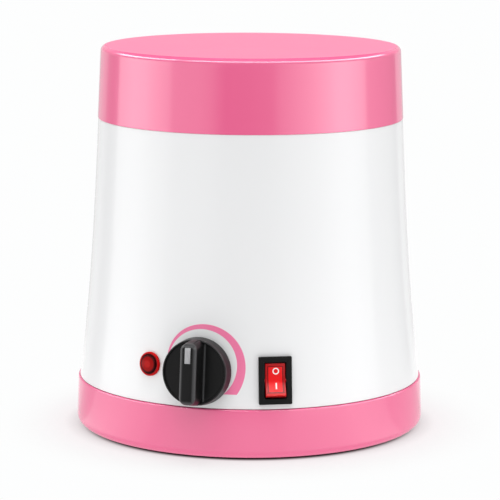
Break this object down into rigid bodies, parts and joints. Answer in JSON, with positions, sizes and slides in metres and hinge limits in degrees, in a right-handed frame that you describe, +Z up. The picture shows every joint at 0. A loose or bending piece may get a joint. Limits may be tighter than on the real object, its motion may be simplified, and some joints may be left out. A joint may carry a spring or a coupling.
{
  "type": "wax warmer",
  "caption": "Electric wax warmer: round flared housing on a base ring, with a lid, a lifting pot in a heated well, a dial, a lamp and a rocker switch.",
  "frame": {"origin": "on the pot's axis, on the surface that the machine stands on", "axes": "+Z up along the pot's axis, -Y towards the front, where the controls are, +X to the viewer's right"},
  "size_m": [0.165, 0.19, 0.1806],
  "materials": {
    "pink_plastic": "glossy",
    "white_plastic": "glossy",
    "black_plastic": "satin",
    "silver_paint": "satin",
    "red_lens": "clear tinted, glossy",
    "rubber": "matt",
    "aluminium": "spun",
    "steel": "zinc plated",
    "brass": "bare",
    "copper": "bare",
    "mica_band": "satin",
    "nylon": "satin",
    "phenolic": "matt",
    "wire_brown": "matt",
    "wire_blue": "matt",
    "wire_red": "matt",
    "wire_white": "matt"
  },
  "bodies": {
    "base": {"housing": "white_plastic", "base_tray": "pink_plastic", "foot_1": "rubber", "foot_2": "rubber", "foot_3": "rubber", "foot_4": "rubber", "base_screw_1": "steel", "base_screw_2": "steel", "base_screw_3": "steel", "base_screw_4": "steel", "well": "aluminium", "well_screw_1": "steel", "well_screw_2": "steel", "well_screw_3": "steel", "heater_band": "mica_band", "clamp_screw": "steel", "clamp_nut": "steel", "thermostat_body": "phenolic", "thermostat_nut": "brass", "sensor_bulb": "copper", "bulb_clip": "steel", "lamp_lens": "red_lens", "lamp_body": "nylon", "lamp_clip": "steel", "switch_body": "black_plastic", "switch_terminal_line": "brass", "switch_terminal_load": "brass", "switch_terminal_lamp": "brass", "cord_gland": "rubber", "gland_nut": "black_plastic", "thermal_fuse": "copper", "fuse_clip": "steel", "terminal_block": "nylon", "block_screw": "steel", "wire_block_to_switch": "wire_brown", "wire_switch_to_thermostat": "wire_brown", "wire_thermostat_to_fuse": "wire_red", "wire_fuse_to_heater": "wire_white", "wire_heater_to_block": "wire_white", "wire_lamp_feed": "wire_red", "wire_lamp_to_block": "wire_blue", "wire_switch_to_block": "wire_blue"},
    "pot": {"pot": "aluminium", "ear_right": "steel", "ear_rivet_right": "steel", "ear_left": "steel", "ear_rivet_left": "steel"},
    "lid": {"lid": "pink_plastic"},
    "bail": {"bail": "steel"},
    "knob": {"knob": "black_plastic", "knob_pointer": "silver_paint", "thermostat_shaft": "steel"},
    "rocker": {"switch_rocker": "red_lens"}
  },
  "joints": [
    {"name": "pot_lift", "type": "slide", "parent": "base", "child": "pot", "axis": [0, 0, 1], "range_m": [0, 0.12]},
    {"name": "lid_lift", "type": "slide", "parent": "pot", "child": "lid", "axis": [0, 0, 1], "range_m": [0, 0.2]},
    {"name": "bail_swing", "type": "hinge", "parent": "pot", "child": "bail", "pos_m": [0, 0, 0.1685], "axis": [1, 0, 0], "range_deg": [0, 93]},
    {"name": "knob_turn", "type": "hinge", "parent": "base", "child": "knob", "pos_m": [-0.02256, -0.07569, 0.0404], "axis": [-0.284, -0.9526, 0.1094], "range_deg": [-127, 124]},
    {"name": "switch_rock", "type": "hinge", "parent": "base", "child": "rocker", "pos_m": [0.01146, -0.07854, 0.0369], "axis": [0.9895, 0.1444, 0], "range_deg": [0, 20]}
  ],
  "couplings": [
    {"joint": "bail_swing", "follows": "lid_lift", "rad_per_m": 8.11}
  ]
}
